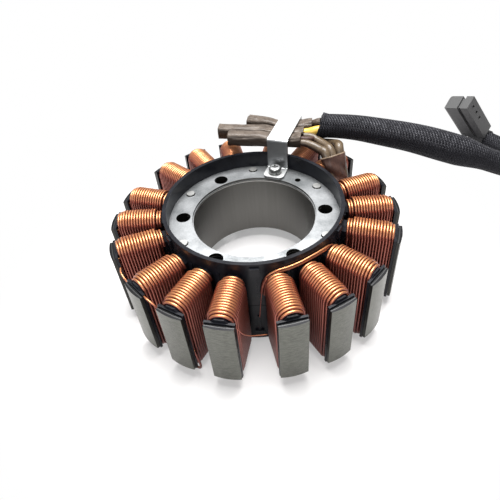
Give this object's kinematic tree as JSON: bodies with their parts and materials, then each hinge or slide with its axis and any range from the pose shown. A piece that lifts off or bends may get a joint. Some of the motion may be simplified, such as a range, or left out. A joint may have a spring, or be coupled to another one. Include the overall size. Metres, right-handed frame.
{
  "type": "wound stator",
  "caption": "Wound stator for a flywheel alternator: riveted laminated ring, outward poles with copper coils, resin insulator, lead bracket and a braided harness to a socket connector.",
  "frame": {"origin": "on the bore axis, in the lower steel face of the core", "axes": "+Z along the bore axis, out of the face that carries the lead bracket; +X through the middle pole of one group of three, 70 degrees clockwise from the bracket seen from above"},
  "size_m": [0.227, 0.1722, 0.0579],
  "materials": {
    "lamination_steel": "satin varnished electrical steel",
    "insulator_resin": "glossy black moulded resin",
    "magnet_wire": "clear enamel over copper",
    "rivet_steel": "satin",
    "zinc_plate": "bright zinc plate",
    "glass_sleeving": "varnished woven glass",
    "crimp_brass": "tinned, satin",
    "lead_sleeving": "varnished woven glass",
    "wire_insulation": "extruded plastic",
    "harness_braid": "woven polyester braid",
    "housing_plastic": "moulded, matt",
    "seal_rubber": "matt",
    "terminal_brass": "tinned"
  },
  "bodies": {
    "root": {"core_laminations": "lamination_steel", "front_insulator": "insulator_resin", "back_insulator": "insulator_resin", "coil_01": "magnet_wire", "coil_02": "magnet_wire", "coil_03": "magnet_wire", "coil_04": "magnet_wire", "coil_05": "magnet_wire", "coil_06": "magnet_wire", "coil_07": "magnet_wire", "coil_08": "magnet_wire", "coil_09": "magnet_wire", "coil_10": "magnet_wire", "coil_11": "magnet_wire", "coil_12": "magnet_wire", "coil_13": "magnet_wire", "coil_14": "magnet_wire", "coil_15": "magnet_wire", "coil_16": "magnet_wire", "coil_17": "magnet_wire", "coil_18": "magnet_wire", "core_rivets": "rivet_steel", "jumper_wires": "magnet_wire", "lead_bracket": "zinc_plate", "bracket_screw": "zinc_plate", "lock_washer": "zinc_plate", "splice_sleeve_1": "glass_sleeving", "splice_crimp_1": "crimp_brass", "winding_lead_1": "lead_sleeving", "phase_wire_1": "wire_insulation", "splice_sleeve_2": "glass_sleeving", "splice_crimp_2": "crimp_brass", "winding_lead_2": "lead_sleeving", "phase_wire_2": "wire_insulation", "splice_sleeve_3": "glass_sleeving", "splice_crimp_3": "crimp_brass", "winding_lead_3": "lead_sleeving", "phase_wire_3": "wire_insulation", "lead_wrap": "lead_sleeving", "harness": "harness_braid", "connector_housing": "housing_plastic", "connector_boot": "seal_rubber", "connector_terminals": "terminal_brass"}
  },
  "joints": []
}
